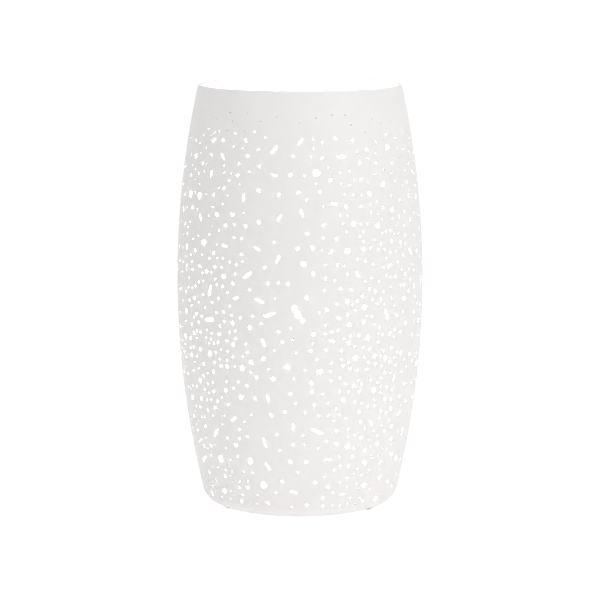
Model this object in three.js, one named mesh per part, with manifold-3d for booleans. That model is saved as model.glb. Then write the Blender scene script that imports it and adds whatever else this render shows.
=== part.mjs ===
// A pierced porcelain table lamp, in millimetres, +Z up.
// The origin is the middle of the underside, on the surface that the lamp stands on. The front
// faces -Y and the cable inlet is at the back, on +Y. A barrel-shaped porcelain body, open at the
// top, stands on three rubber pads. Its raised floor carries an E27 lampholder on a hollow threaded
// tube, and a filament bulb is screwed into that.
import * as THREE from "three";
import { mergeVertices } from "three/addons/utils/BufferGeometryUtils.js";
import Module from "manifold-3d";

const wasm = await Module();
wasm.setup();

// ---- Driving dimensions -------------------------------------------------------------------------

const overallHeight = 250; // from the pads' underside to the rim
const rimRadius = 60; // outside, at the rim
const bellyRadius = 73; // outside, at the widest place
const bellyHeight = 133;
const wall = 3;
const cornerRadius = 10; // outside, where the side turns in to the foot
const recessRadius = 40.5; // the hollow under the raised floor
const recessDepth = 10;
const floorThickness = 3.5;
const gap = 0.3; // between a piece and the one it sits in

const padThickness = 1.2;
const padRadius = 5; // a little wider than the foot ring
const padOffset = 1; // outwards from the middle of the foot ring
const padCount = 3;
const firstPadAngle = 58; // degrees from the front towards +X

const inletHoleRadius = 3.5; // through the foot, at the back
const grommetBore = 2.4;
const grommetFlangeRadius = 4.7;
const grommetFlangeThickness = 1.8;

const tubeRadius = 5; // M10 x 1 hollow threaded tube
const tubeBore = 3.5;
const nutWall = 2; // at the nut's flats
const nutHeight = 4;
const washerRadius = 10;
const washerThickness = 1.2;
const gasketRadius = 11;
const gasketThickness = 1;

const holderHeight = 58; // E27 lampholder
const holderSpace = 1.95; // between its outer sleeve and the tube that carries its thread
const holderWall = 2.2;
const contactDepth = 27; // from the lampholder's rim down to the bulb's contact
const threadPitch = 3.629;
const bulbThreadRadius = 13.1; // over the crests of the bulb's screw cap
const threadDepth = 0.85;
const contactTravel = 1.2; // of the sprung contact under the bulb
const springPressedHeight = 2.8; // of its coil spring, when it's fully down
const springTurns = 3;

const bulbRadius = 30;
const bulbLength = 105;
const glassWall = 0.9;
const filamentLength = 30;
const filamentRise = 9; // of their upper ends above the middle of the crown's sphere

// ---- Places worked out from them, as heights above the surface ----------------------------------

const footZ = padThickness;
const floorUnderZ = footZ + recessDepth;
const floorTopZ = floorUnderZ + floorThickness;
const nutZ = floorUnderZ - gasketThickness - washerThickness - nutHeight;
const holderZ = floorTopZ + gasketThickness + washerThickness;
const bulbZ = holderZ + holderHeight - contactDepth;
const neckRadius = bulbThreadRadius - 0.6; // of the glass, inside the cap's skirt

// ---- Materials ----------------------------------------------------------------------------------

const surface = (color, roughness, metalness = 0) =>
  new THREE.MeshStandardMaterial({ color, roughness, metalness });
const porcelain = surface(0xeceae8, 0.6);
const softRubber = surface(0xe2e2de, 0.7);
const rubber = surface(0x2b2b2b, 0.8);
const greyPvc = surface(0xe4e4e0, 0.5);
const zincSteel = surface(0xb9bcc0, 0.35, 1);
const whitePlastic = surface(0xf0efeb, 0.4);
const steatite = surface(0xe8e2d4, 0.7);
const brass = surface(0xc9a24b, 0.3, 1);
const nickel = surface(0xc8c6c0, 0.25, 1);
const springSteel = surface(0x9a9da1, 0.35, 1);
const blackGlass = surface(0x15151a, 0.2);
const solder = surface(0xa9a9ad, 0.4, 1);
const clearGlass = new THREE.MeshStandardMaterial({
  color: 0xf4f8f8,
  roughness: 0.05,
  transparent: true,
  opacity: 0.35,
});
const phosphor = surface(0xf6d98a, 0.5);
const circuitBoard = surface(0x2f6b45, 0.6);
const capacitorSleeve = surface(0x27313f, 0.4);

// ---- Shape helpers ------------------------------------------------------------------------------

const radians = THREE.MathUtils.degToRad;

// Points on a circular arc in a profile's plane, from one angle to another, in degrees.
function arc(centreR, centreZ, radius, from, to, steps) {
  const points = [];
  for (let i = 0; i <= steps; i++) {
    const a = radians(from + ((to - from) * i) / steps);
    points.push([centreR + radius * Math.cos(a), centreZ + radius * Math.sin(a)]);
  }
  return points;
}

// A solid of revolution about Z from a profile of [radius, height] points, which closes on itself.
function turned(profile, segments) {
  let area = 0;
  profile.forEach(([r, z], i) => {
    const [nextR, nextZ] = profile[(i + 1) % profile.length];
    area += r * nextZ - nextR * z;
  });
  const ordered = area > 0 ? profile : [...profile].reverse();
  const onAxis = ordered.findIndex(([r], i) => r === 0 && ordered[(i + 1) % ordered.length][0] > 0);
  const points =
    onAxis < 0
      ? [...ordered, ordered[0]]
      : [...ordered.slice(onAxis), ...ordered.slice(0, onAxis)];
  const geometry = new THREE.LatheGeometry(
    points.map(([r, z]) => new THREE.Vector2(r, z)),
    segments,
  );
  return geometry.rotateX(Math.PI / 2);
}

// A ring of square section from its two radii and its height, standing on Z 0.
const ring = (inner, outer, height, segments) =>
  turned(
    [
      [inner, 0],
      [outer, 0],
      [outer, height],
      [inner, height],
    ],
    segments,
  );

// A round bar standing on Z 0.
const bar = (radius, height, segments) =>
  new THREE.CylinderGeometry(radius, radius, height, segments)
    .rotateX(Math.PI / 2)
    .translate(0, 0, height / 2);

// A wire of round section along a curve.
const wireAlong = (curve, radius, steps, sides = 8) =>
  new THREE.ExtrudeGeometry(
    new THREE.Shape(
      Array.from({ length: sides }, (_, i) => {
        const a = (2 * Math.PI * i) / sides;
        return new THREE.Vector2(radius * Math.cos(a), radius * Math.sin(a));
      }),
    ),
    { steps, extrudePath: curve, bevelEnabled: false },
  );

// A closed geometry as a solid that can be joined and cut, with its shared vertices merged.
function solidOf(geometry) {
  const loose = geometry.index ? geometry.toNonIndexed() : geometry;
  const bare = new THREE.BufferGeometry().setAttribute("position", loose.getAttribute("position"));
  const merged = mergeVertices(bare, 1e-4);
  const corners = merged.index.array;
  const kept = [];
  for (let i = 0; i < corners.length; i += 3) {
    const [a, b, c] = corners.slice(i, i + 3);
    if (a !== b && b !== c && c !== a) kept.push(a, b, c);
  }
  return new wasm.Manifold(
    new wasm.Mesh({
      numProp: 3,
      vertProperties: merged.attributes.position.array,
      triVerts: new Uint32Array(kept),
    }),
  );
}

function geometryOf(solid) {
  const mesh = solid.getMesh();
  return new THREE.BufferGeometry()
    .setAttribute("position", new THREE.BufferAttribute(mesh.vertProperties, 3))
    .setIndex(new THREE.BufferAttribute(mesh.triVerts, 1));
}

// The first geometry with the others cut out of it.
const cutFrom = (geometry, ...tools) =>
  geometryOf(tools.reduce((left, tool) => left.subtract(solidOf(tool)), solidOf(geometry)));

const joined = (...geometries) =>
  geometryOf(geometries.map(solidOf).reduce((all, next) => all.add(next)));

function mesh(name, geometry, material, z = 0) {
  const made = new THREE.Mesh(geometry, material);
  made.name = name;
  made.position.z = z;
  return made;
}

// ---- Porcelain body -----------------------------------------------------------------------------

// The side is one arc through the widest place and the rim.
const sideDrop = bellyRadius - rimRadius;
const sideRise = overallHeight - bellyHeight;
const sideArcRadius = (sideRise ** 2 + sideDrop ** 2) / (2 * sideDrop);
const sideCentreR = bellyRadius - sideArcRadius;
const outsideAt = (z) => sideCentreR + Math.sqrt(sideArcRadius ** 2 - (z - bellyHeight) ** 2);

// The corner arc touches the foot's plane and the side arc from within.
const cornerZ = footZ + cornerRadius;
const cornerR = sideCentreR + Math.sqrt((sideArcRadius - cornerRadius) ** 2 - (bellyHeight - cornerZ) ** 2);
const sideFoot = -THREE.MathUtils.radToDeg(
  Math.asin((bellyHeight - cornerZ) / (sideArcRadius - cornerRadius)),
);

// The lip is a half round as thick as the wall, so the side arc stops half a wall below the rim.
const lipZ = overallHeight - wall / 2;
const sideTop = THREE.MathUtils.radToDeg(Math.asin((lipZ - bellyHeight) / sideArcRadius));

// The outside of the body and, with an inset, the hollow inside it down to the channel in the foot.
function sideProfile(inset) {
  return [
    ...arc(cornerR, cornerZ, cornerRadius - inset, -90, sideFoot, 3),
    ...arc(sideCentreR, bellyHeight, sideArcRadius - inset, sideFoot, 0, 4).slice(1),
    ...arc(sideCentreR, bellyHeight, sideArcRadius - inset, 0, sideTop, 4).slice(1),
  ];
}

// The hollow foot: the wall turns in, runs flat, and turns up again to the raised floor.
const channelZ = footZ + floorThickness;
const channelRadius = recessRadius + floorThickness;
const floorEdge = 2; // rounding at the raised floor's rim and in the recess
const bodySegments = 48;

// The tunnel for the cable, through a solid block that fills the channel at the back.
// It opens in a small flat seat on the outside.
const inletZ = footZ + recessDepth / 2;
const inletSeatY = cornerR + Math.sqrt(cornerRadius ** 2 - (cornerZ - inletZ) ** 2) - 0.6;
const tunnelBlockHalfWidth = inletHoleRadius + 4;
const tunnelBlockDepth = cornerR + cornerRadius - wall / 2;

function hollowInside() {
  const lipR = outsideAt(lipZ) - wall;
  const hollow = turned(
    [
      [0, floorTopZ],
      ...arc(channelRadius - floorEdge, floorTopZ - floorEdge, floorEdge, 90, 0, 2),
      [channelRadius, channelZ],
      ...sideProfile(wall),
      [lipR, overallHeight + 1],
      [0, overallHeight + 1],
    ],
    bodySegments,
  );
  const block = new THREE.BoxGeometry(
    2 * tunnelBlockHalfWidth,
    tunnelBlockDepth - recessRadius,
    floorTopZ - footZ,
  ).translate(0, (recessRadius + tunnelBlockDepth) / 2, (floorTopZ + footZ) / 2);
  return geometryOf(solidOf(hollow).subtract(solidOf(block)));
}

// The recess under the raised floor, and the hole for the threaded tube.
const hollowUnderneath = () =>
  turned(
    [
      [0, footZ - 1],
      [recessRadius, footZ - 1],
      ...arc(recessRadius - floorEdge, floorUnderZ - floorEdge, floorEdge, 0, 90, 2),
      [tubeRadius + gap, floorUnderZ],
      [tubeRadius + gap, floorTopZ + 1],
      [0, floorTopZ + 1],
    ],
    bodySegments,
  );

const cableTunnel = () =>
  joined(
    bar(inletHoleRadius, bellyRadius, 20).rotateX(-Math.PI / 2).translate(0, recessRadius - 2, inletZ),
    bar(grommetFlangeRadius + gap, bellyRadius, 20).rotateX(-Math.PI / 2).translate(0, inletSeatY, inletZ),
  );

// ---- Piercings ----------------------------------------------------------------------------------

// The pattern is scattered by one repeatable draw, largest first. This model cuts the long slots and
// the largest holes: each kind has a count, its lengths and widths, and the height band it keeps to.
const plainBand = 30; // below the rim
const highest = overallHeight - plainBand;
const piercingSeed = 2971;
const piercingKinds = [
  { count: 20, length: [5.2, 7.4], width: [1.5, 2.2], band: [28, 62], sides: 4 },
  {
    count: 26,
    length: [5.2, 7.4],
    width: [1.5, 2.2],
    band: [bellyHeight - 21, bellyHeight + 25],
    sides: 4,
  },
  { count: 10, length: [4.2, 5.6], width: [1.5, 2.1], band: [highest - 22, highest], sides: 4 },
  { count: 16, length: [3.6, 4.2], width: [3.2, 3.9], band: [14, highest - 4], sides: 6 },
];
const piercingBridge = 2.2; // least porcelain between two of these

// The minimal standard generator, which gives the same draw in any language.
function repeatableDraw(seed) {
  let state = seed;
  return () => {
    state = (state * 16807) % 2147483647;
    return state / 2147483647;
  };
}

function scatteredPiercings() {
  const draw = repeatableDraw(piercingSeed);
  const between = ([low, high]) => low + (high - low) * draw();
  const placed = [];
  for (const kind of piercingKinds) {
    let left = kind.count;
    while (left > 0) {
      const angle = 360 * draw();
      const z = between(kind.band);
      const length = between(kind.length);
      const width = Math.min(between(kind.width), length);
      const tilt = 180 * draw();
      const clear = placed.every((other) => {
        const turn = ((angle - other.angle + 540) % 360) - 180;
        const across = radians(turn) * outsideAt(z);
        return Math.hypot(across, z - other.z) > (length + other.length) / 2 + piercingBridge;
      });
      if (!clear) continue;
      placed.push({ angle, z, length, width, tilt, sides: kind.sides });
      left -= 1;
    }
  }
  return placed;
}

// A prism through the wall, square to the surface.
function piercingTool({ angle, z, length, width, tilt, sides }) {
  const around = radians(angle);
  const slope = Math.asin((z - bellyHeight) / sideArcRadius);
  const out = new THREE.Vector3(Math.sin(around), -Math.cos(around), 0);
  const normal = out.clone().multiplyScalar(Math.cos(slope)).setZ(Math.sin(slope));
  const along = new THREE.Vector3(Math.cos(around), Math.sin(around), 0);
  const up = normal.clone().cross(along);
  const middle = out.multiplyScalar(outsideAt(z) - wall / 2).setZ(z);
  const depth = 3 * wall;
  const prism =
    sides === 4
      ? new THREE.BoxGeometry(length, width, depth)
      : new THREE.CylinderGeometry(0.5, 0.5, depth, sides).rotateX(Math.PI / 2).scale(length, width, 1);
  return prism
    .rotateZ(radians(tilt))
    .applyMatrix4(new THREE.Matrix4().makeBasis(along, up, normal).setPosition(middle));
}

function porcelainBody() {
  const solid = turned(
    [
      [0, footZ],
      ...sideProfile(0),
      ...arc(outsideAt(lipZ) - wall / 2, lipZ, wall / 2, 0, 180, 4).slice(1, -1),
      [outsideAt(lipZ) - wall, lipZ],
      [0, lipZ],
    ],
    bodySegments,
  );
  const shell = cutFrom(solid, hollowInside(), hollowUnderneath(), cableTunnel());
  return mesh("porcelain_body", cutFrom(shell, ...scatteredPiercings().map(piercingTool)), porcelain);
}

// ---- Feet and cable inlet -----------------------------------------------------------------------

// Rubber discs stuck to the middle of the flat foot.
function footPads() {
  const padCircle = (recessRadius + cornerR) / 2 + padOffset;
  return Array.from({ length: padCount }, (_, i) => {
    const pad = mesh(`foot_pad_${i + 1}`, bar(padRadius, padThickness, 20), softRubber);
    const around = radians(firstPadAngle + (360 * i) / padCount);
    pad.position.set(padCircle * Math.sin(around), -padCircle * Math.cos(around), 0);
    return pad;
  });
}

// A flanged bush in the tunnel. Its flange bears on the outside and its snap ridge sits in the recess.
function cableGrommet() {
  const body = inletHoleRadius - gap;
  const ridge = inletHoleRadius + 0.7;
  const start = recessRadius - gap - 1.6;
  const flangeFoot = inletSeatY + gap;
  const end = flangeFoot + grommetFlangeThickness;
  const profile = [
    [grommetBore, start],
    [body - 0.4, start],
    [ridge - 0.5, recessRadius - gap - 0.8],
    [body, recessRadius - gap - 0.8],
    [body, flangeFoot],
    [grommetFlangeRadius, flangeFoot],
    [grommetFlangeRadius, end - 0.5],
    [grommetFlangeRadius - 0.6, end],
    [grommetBore + 0.4, end],
    [grommetBore, end - 0.5],
  ];
  return mesh("cable_grommet", turned(profile, 20).rotateX(-Math.PI / 2), greyPvc, inletZ);
}

// ---- The fixing through the floor ---------------------------------------------------------------

const capNeckDepth = 8;

function fixing() {
  const bore = tubeRadius + gap;
  const tubeFootZ = nutZ - 1.2;
  const nutOutline = new THREE.Shape(
    Array.from({ length: 6 }, (_, i) => {
      const a = (Math.PI * i) / 3;
      const corner = (2 * (tubeRadius + nutWall)) / Math.sqrt(3);
      return new THREE.Vector2(corner * Math.cos(a), corner * Math.sin(a));
    }),
  );
  nutOutline.holes.push(new THREE.Path().absarc(0, 0, bore, 0, 2 * Math.PI, true));
  const nutForm = { depth: nutHeight, bevelEnabled: false, curveSegments: 10 };
  const nut = new THREE.ExtrudeGeometry(nutOutline, nutForm);
  const washer = () => ring(bore, washerRadius, washerThickness, 24);
  const gasket = () => ring(bore, gasketRadius, gasketThickness, 24);
  const tube = ring(tubeBore, tubeRadius, holderZ + capNeckDepth - tubeFootZ, 20);
  return [
    mesh("threaded_tube", tube, zincSteel, tubeFootZ),
    mesh("lower_nut", nut, zincSteel, nutZ),
    mesh("lower_washer", washer(), zincSteel, nutZ + nutHeight),
    mesh("lower_gasket", gasket(), rubber, floorUnderZ - gasketThickness),
    mesh("upper_gasket", gasket(), rubber, floorTopZ),
    mesh("upper_washer", washer(), zincSteel, floorTopZ + gasketThickness),
  ];
}

// ---- Lampholder, with its heights above its own seat --------------------------------------------

const contactZ = holderHeight - contactDepth; // the bulb's contact
const insertThickness = 3.8;
const contactHeadThickness = 1;
const insertTop = contactZ - gap - contactHeadThickness - contactTravel - springPressedHeight;
const insertUnder = insertTop - insertThickness;
const capTop = insertUnder - gap;
const capShoulder = capTop - 6.3;
const threadCrest = bulbThreadRadius + 0.5; // inside of the lampholder's thread
const threadTube = threadCrest + threadDepth + 0.9; // outside of the tube that carries it
const sleeveRadius = threadTube + holderSpace; // inside of the outer sleeve
const holderRadius = sleeveRadius + holderWall;
const spigotRadius = sleeveRadius - gap - 0.4; // the cap's rim, inside the sleeve
const spigotInside = spigotRadius - holderWall;
const neckOutside = tubeRadius + 3;
const grubZ = 3.4;
const grubRadius = 1.5;

function holderCap() {
  const flare = arc(neckOutside, capShoulder - 2, holderRadius - neckOutside - 1.5, -90, 0, 5);
  const rim = holderRadius - 1.5;
  const bore = tubeRadius + gap;
  const profile = [
    [bore, 0],
    [neckOutside, 0],
    ...flare,
    [rim, capShoulder],
    [spigotRadius, capShoulder],
    [spigotRadius, capTop],
    [spigotInside, capTop],
    [spigotInside, capShoulder - 1],
    ...arc(neckOutside, capShoulder - 2, spigotInside - neckOutside, 0, -80, 4),
    [bore, capNeckDepth + gap],
  ];
  const grubHole = bar(grubRadius + gap, neckOutside, 12)
    .rotateY(Math.PI / 2)
    .translate(tubeRadius - 1, 0, grubZ);
  return mesh("holder_cap", cutFrom(turned(profile, 24), grubHole), whitePlastic);
}

const grubScrew = () =>
  mesh(
    "holder_grub_screw",
    bar(grubRadius, neckOutside - tubeRadius, 12).rotateY(Math.PI / 2).translate(tubeRadius + gap, 0, 0),
    zincSteel,
    grubZ,
  );

// The sleeve and, inside it, the threaded tube, joined at the mouth. A slot in the tube lets the
// side contact in.
const sideContactWidth = 5;
const sideContactTop = contactZ + 12;

function holderBody() {
  const ledge = insertTop + gap;
  const mouth = holderHeight - 1.5;
  const turns = Math.floor((mouth - ledge - 2) / threadPitch);
  const thread = [];
  for (let i = 0; i < turns; i++) {
    const top = mouth - 1 - i * threadPitch;
    thread.push([threadCrest, top], [threadCrest + threadDepth, top - threadPitch / 2]);
  }
  const profile = [
    [sleeveRadius, capShoulder + gap],
    [holderRadius, capShoulder + gap],
    [holderRadius, mouth],
    ...arc(holderRadius - 1.5, mouth, 1.5, 30, 90, 2),
    [threadCrest + 1, holderHeight],
    [threadCrest, mouth],
    ...thread,
    [threadCrest, mouth - 1 - turns * threadPitch],
    [threadCrest, ledge],
    [threadTube, ledge],
    [threadTube, mouth - 3],
    [sleeveRadius, mouth - 3],
  ];
  const slot = new THREE.BoxGeometry(
    threadTube - threadCrest + 2.4,
    sideContactWidth + 2 * gap,
    sideContactTop - ledge + 2,
  ).translate((threadTube + threadCrest) / 2, 0, (sideContactTop + ledge) / 2);
  return mesh("holder_body", cutFrom(turned(profile, 24), slot), whitePlastic);
}

// The ceramic disc that carries the contacts, with a hole that guides the sprung contact.
const plungerRadius = 2.2;
const insertRadius = spigotRadius - gap;

function holderInsert() {
  const disc = ring(plungerRadius + gap, insertRadius, insertThickness, 24);
  return mesh("holder_insert", disc, steatite, insertUnder);
}

// The sprung contact: a domed head on a pin through the insert, with a collar that keeps it in.
const plungerHeadRadius = 3.4;
const plungerHeadUnder = contactZ - gap - contactHeadThickness;
const springWire = 0.25;

function centreContact() {
  const collarTop = insertUnder - gap;
  const profile = [
    [0, collarTop - 1.4],
    [plungerRadius + 0.8, collarTop - 1.4],
    [plungerRadius + 0.8, collarTop],
    [plungerRadius, collarTop],
    [plungerRadius, plungerHeadUnder],
    [plungerHeadRadius, plungerHeadUnder],
    [plungerHeadRadius - 0.3, contactZ - gap - 0.3],
    [plungerHeadRadius - 1.2, contactZ - gap],
    [0, contactZ - gap],
  ];
  return mesh("centre_contact", turned(profile, 20), brass);
}

// A coil spring round the pin, between the insert and the head.
class Coil extends THREE.Curve {
  constructor(radius, low, high, turns) {
    super();
    Object.assign(this, { radius, low, high, turns });
  }
  getPoint(t, target = new THREE.Vector3()) {
    const a = 2 * Math.PI * this.turns * t;
    const z = this.low + (this.high - this.low) * t;
    return target.set(this.radius * Math.cos(a), this.radius * Math.sin(a), z);
  }
}

function contactSpring() {
  const coilRadius = plungerRadius + gap + springWire;
  const low = insertTop + springWire + 0.1;
  const high = plungerHeadUnder - springWire - 0.1;
  const coil = new Coil(coilRadius, low, high, springTurns);
  return mesh("contact_spring", wireAlong(coil, springWire, 16 * springTurns, 6), springSteel);
}

// A bent brass tongue that stands in the thread tube's slot and touches the bulb's screw cap.
function sideContact() {
  const thickness = 0.5;
  const inner = bulbThreadRadius + gap;
  const outline = new THREE.Shape([
    new THREE.Vector2(inner - 4.4, insertTop),
    new THREE.Vector2(inner + thickness, insertTop),
    new THREE.Vector2(inner + thickness, sideContactTop),
    new THREE.Vector2(inner, sideContactTop),
    new THREE.Vector2(inner, insertTop + thickness),
    new THREE.Vector2(inner - 4.4, insertTop + thickness),
  ]);
  const strip = new THREE.ExtrudeGeometry(outline, { depth: sideContactWidth, bevelEnabled: false })
    .rotateX(Math.PI / 2)
    .translate(0, sideContactWidth / 2, 0);
  return mesh("side_contact", strip, brass);
}

// Two brass blocks under the insert, each with a clamping screw on its outer side.
function terminals() {
  const size = { x: 5, y: 7, z: 6 };
  const headHeight = 1.8;
  const middle = spigotInside - 1.8 - headHeight - gap - size.x / 2;
  const centreZ = insertUnder - gap - size.z / 2;
  return [
    ["live", -1],
    ["neutral", 1],
  ].flatMap(([wire, side]) => {
    const wireHole = bar(1.3, size.y + 2, 10).rotateX(Math.PI / 2).translate(0, size.y / 2 + 1, 0);
    const drilled = cutFrom(new THREE.BoxGeometry(size.x, size.y, size.z), wireHole);
    const block = mesh(`terminal_${wire}`, drilled, brass);
    block.position.set(side * middle, 0, centreZ);
    const head = bar(1.9, headHeight, 14).rotateY((side * Math.PI) / 2);
    const slot = new THREE.BoxGeometry(1.6, 0.6, 5).translate(side * 2, 0, 0);
    const screw = mesh(`terminal_screw_${wire}`, cutFrom(head, slot), zincSteel);
    screw.position.set(side * (middle + size.x / 2 + gap), 0, centreZ);
    return [block, screw];
  });
}

// ---- Bulb, with its heights above the tip of its own contact ------------------------------------

const tipHeight = 1.5;
const insulatorTop = 6.5;
const capInside = bulbThreadRadius - threadDepth - 0.35;
const skirtTop = 27;

const bulbContact = () =>
  mesh(
    "bulb_contact",
    turned(
      [
        [0, 0],
        [2.6, 0],
        [4.4, 1],
        [4.4, tipHeight],
        [0, tipHeight],
      ],
      18,
    ),
    solder,
  );

const bulbInsulator = () =>
  mesh(
    "bulb_insulator",
    turned(
      [
        [0, tipHeight + gap],
        [5, tipHeight + gap],
        [capInside - gap, 5],
        [capInside - gap, insulatorTop],
        [0, insulatorTop],
      ],
      24,
    ),
    blackGlass,
  );

// The screw cap: a thin shell with four turns of rounded thread and a plain skirt round the glass.
function bulbCap() {
  const root = bulbThreadRadius - threadDepth;
  const thread = [];
  for (let i = 0; i < 4; i++) {
    const low = insulatorTop + 0.3 + i * threadPitch;
    thread.push([root, low]);
    thread.push([bulbThreadRadius, low + threadPitch * 0.35], [bulbThreadRadius, low + threadPitch * 0.65]);
  }
  const threadTop = insulatorTop + 0.3 + 4 * threadPitch;
  const skirt = neckRadius + gap;
  const profile = [
    [capInside, 5.2],
    [root, 5.2],
    ...thread,
    [root, threadTop],
    [skirt + 0.45, threadTop + 1.4],
    [skirt + 0.45, skirtTop],
    [skirt, skirtTop],
    [skirt, threadTop + 1.2],
    [capInside, threadTop],
  ];
  return mesh("bulb_cap", turned(profile, 24), nickel);
}

// The outline of the glass: a neck, a swelling curve, and a sphere for the crown.
const crownZ = bulbLength - bulbRadius;
const neckFoot = skirtTop - 4.2;

function glassOutline(inset) {
  const radius = bulbRadius - inset;
  const meet = radians(-35);
  const meetR = radius * Math.cos(meet);
  const meetZ = crownZ + radius * Math.sin(meet);
  const reach = 12;
  const swelling = new THREE.CubicBezierCurve(
    new THREE.Vector2(neckRadius - inset, skirtTop + 3),
    new THREE.Vector2(neckRadius - inset, skirtTop + 3 + reach),
    new THREE.Vector2(meetR + reach * Math.sin(meet), meetZ - reach * Math.cos(meet)),
    new THREE.Vector2(meetR, meetZ),
  );
  return [
    [neckRadius - inset, neckFoot],
    ...swelling.getPoints(5).map((p) => [p.x, p.y]),
    ...arc(0, crownZ, radius, -35, 90, 8).slice(1, -1),
    [0, crownZ + radius],
  ];
}

const bulbGlass = () =>
  mesh("bulb_glass", turned([...glassOutline(0), ...glassOutline(glassWall).reverse()], 24), clearGlass);

// The glass foot inside the neck, drawn out into a rod that holds the filaments.
const stemFlare = neckRadius - glassWall - gap;
const rodRadius = 1.6;
const pinchRadius = 3.4;
const filamentHigh = crownZ + filamentRise;
const filamentLow = filamentHigh - filamentLength;
const pinchZ = filamentLow - 12;

const bulbStem = () =>
  mesh(
    "bulb_stem",
    turned(
      [
        [0, neckFoot],
        [stemFlare, neckFoot],
        [stemFlare, neckFoot + 1.2],
        [5.2, pinchZ - 11],
        [pinchRadius, pinchZ - 6],
        [pinchRadius, pinchZ],
        [rodRadius, pinchZ + 3],
        [rodRadius, filamentHigh],
        [0, filamentHigh],
      ],
      18,
    ),
    clearGlass,
  );

// Four straight filaments that lean in a little towards the top.
const filamentRadius = 0.9;
const filamentFootR = 7;
const filamentHeadR = 5;

function filaments() {
  return Array.from({ length: 4 }, (_, i) => {
    const a = Math.PI / 4 + (Math.PI * i) / 2;
    const foot = new THREE.Vector3(filamentFootR * Math.cos(a), filamentFootR * Math.sin(a), filamentLow);
    const head = new THREE.Vector3(filamentHeadR * Math.cos(a), filamentHeadR * Math.sin(a), filamentHigh);
    const strip = wireAlong(new THREE.LineCurve3(foot, head), filamentRadius, 1);
    return mesh(`led_filament_${i + 1}`, strip, phosphor);
  });
}

// A wire cross over the rod that joins the filaments' upper ends.
function filamentSpider() {
  const arm = filamentHeadR + 1;
  const bars = [45, 135].map((a) => new THREE.BoxGeometry(2 * arm, 0.8, 0.6).rotateZ(radians(a)));
  return mesh("filament_spider", joined(...bars), nickel, filamentHigh + gap + 0.3);
}

// On each side, a wire that comes out of the pinch and feeds the lower ends of two filaments.
function leadWires() {
  const radius = 0.4;
  const barZ = filamentLow - gap - radius - 0.15;
  return [-1, 1].map((side, i) => {
    const barX = side * filamentFootR * Math.cos(Math.PI / 4);
    const halfBar = filamentFootR * Math.sin(Math.PI / 4) + 0.5;
    const riser = new THREE.LineCurve3(
      new THREE.Vector3(side * (pinchRadius + gap + radius), 0, pinchZ - 3),
      new THREE.Vector3(barX, 0, barZ),
    );
    const cross = new THREE.LineCurve3(
      new THREE.Vector3(barX, -halfBar, barZ),
      new THREE.Vector3(barX, halfBar, barZ),
    );
    const wires = joined(wireAlong(riser, radius, 1), wireAlong(cross, radius, 1));
    return mesh(`lead_wire_${i + 1}`, wires, nickel);
  });
}

// The small circuit board pressed into the screw cap, and the capacitor on it.
function driver() {
  const board = { halfWidth: capInside - 0.6, thickness: 1.2, low: insulatorTop + gap, high: neckFoot - 2 };
  const capacitor = { radius: 3, length: 9 };
  const plate = new THREE.BoxGeometry(
    2 * board.halfWidth,
    board.thickness,
    board.high - board.low,
  ).translate(0, 0, (board.high + board.low) / 2);
  const can = mesh(
    "driver_capacitor",
    bar(capacitor.radius, capacitor.length, 18),
    capacitorSleeve,
    board.low + 2,
  );
  can.position.y = board.thickness / 2 + gap + capacitor.radius;
  return [mesh("driver_board", plate, circuitBoard), can];
}

// ---- Assembly -----------------------------------------------------------------------------------

const lampholder = new THREE.Group();
lampholder.position.z = holderZ;
lampholder.add(
  holderCap(),
  grubScrew(),
  holderInsert(),
  holderBody(),
  centreContact(),
  contactSpring(),
  sideContact(),
  ...terminals(),
);

const bulb = new THREE.Group();
bulb.position.z = bulbZ;
bulb.add(
  bulbContact(),
  bulbInsulator(),
  bulbCap(),
  bulbGlass(),
  bulbStem(),
  ...filaments(),
  filamentSpider(),
  ...leadWires(),
  ...driver(),
);

const lamp = new THREE.Group();
lamp.add(porcelainBody(), ...footPads(), cableGrommet(), ...fixing(), lampholder, bulb);

export default lamp;
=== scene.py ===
import math

import bpy
from mathutils import Matrix, Vector, noise


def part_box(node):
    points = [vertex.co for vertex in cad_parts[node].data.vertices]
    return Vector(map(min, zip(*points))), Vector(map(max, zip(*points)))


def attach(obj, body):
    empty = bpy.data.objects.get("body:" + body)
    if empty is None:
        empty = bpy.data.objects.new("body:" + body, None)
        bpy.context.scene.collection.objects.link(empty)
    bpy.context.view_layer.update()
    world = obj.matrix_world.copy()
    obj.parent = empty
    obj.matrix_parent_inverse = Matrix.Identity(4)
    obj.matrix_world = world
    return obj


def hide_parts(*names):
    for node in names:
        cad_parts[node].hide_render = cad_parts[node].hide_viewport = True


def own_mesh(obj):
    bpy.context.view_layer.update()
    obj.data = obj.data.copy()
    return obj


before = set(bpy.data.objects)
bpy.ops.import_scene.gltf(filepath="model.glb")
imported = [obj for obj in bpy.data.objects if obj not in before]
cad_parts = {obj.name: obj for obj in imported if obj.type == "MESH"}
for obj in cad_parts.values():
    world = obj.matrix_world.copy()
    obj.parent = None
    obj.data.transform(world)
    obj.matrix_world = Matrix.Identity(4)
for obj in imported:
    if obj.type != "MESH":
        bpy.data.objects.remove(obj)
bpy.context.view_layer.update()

# A table lamp of pierced biscuit porcelain, lit. Every length in this file is in millimetres, and MM
# turns it into Blender's metres where a mesh or a light is made. Heights are above the table.
MM = 0.001


# ---- View ---------------------------------------------------------------------------------------
# The lamp is seen from in front, from a little above its rim, through a long lens.
def look(distance, height, down, lens):
    data = bpy.data.cameras.new("view")
    data.lens, data.sensor_width = lens, 36
    data.clip_end = 100
    camera = bpy.data.objects.new("view", data)
    bpy.context.collection.objects.link(camera)
    camera.location = (0, -distance * MM, height * MM)
    camera.rotation_euler = (math.radians(90 - down), 0, 0)
    bpy.context.scene.camera = camera
    bpy.context.scene.view_settings.view_transform = "Standard"


look(distance=1500, height=348.2, down=8.594, lens=152.7)


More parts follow.
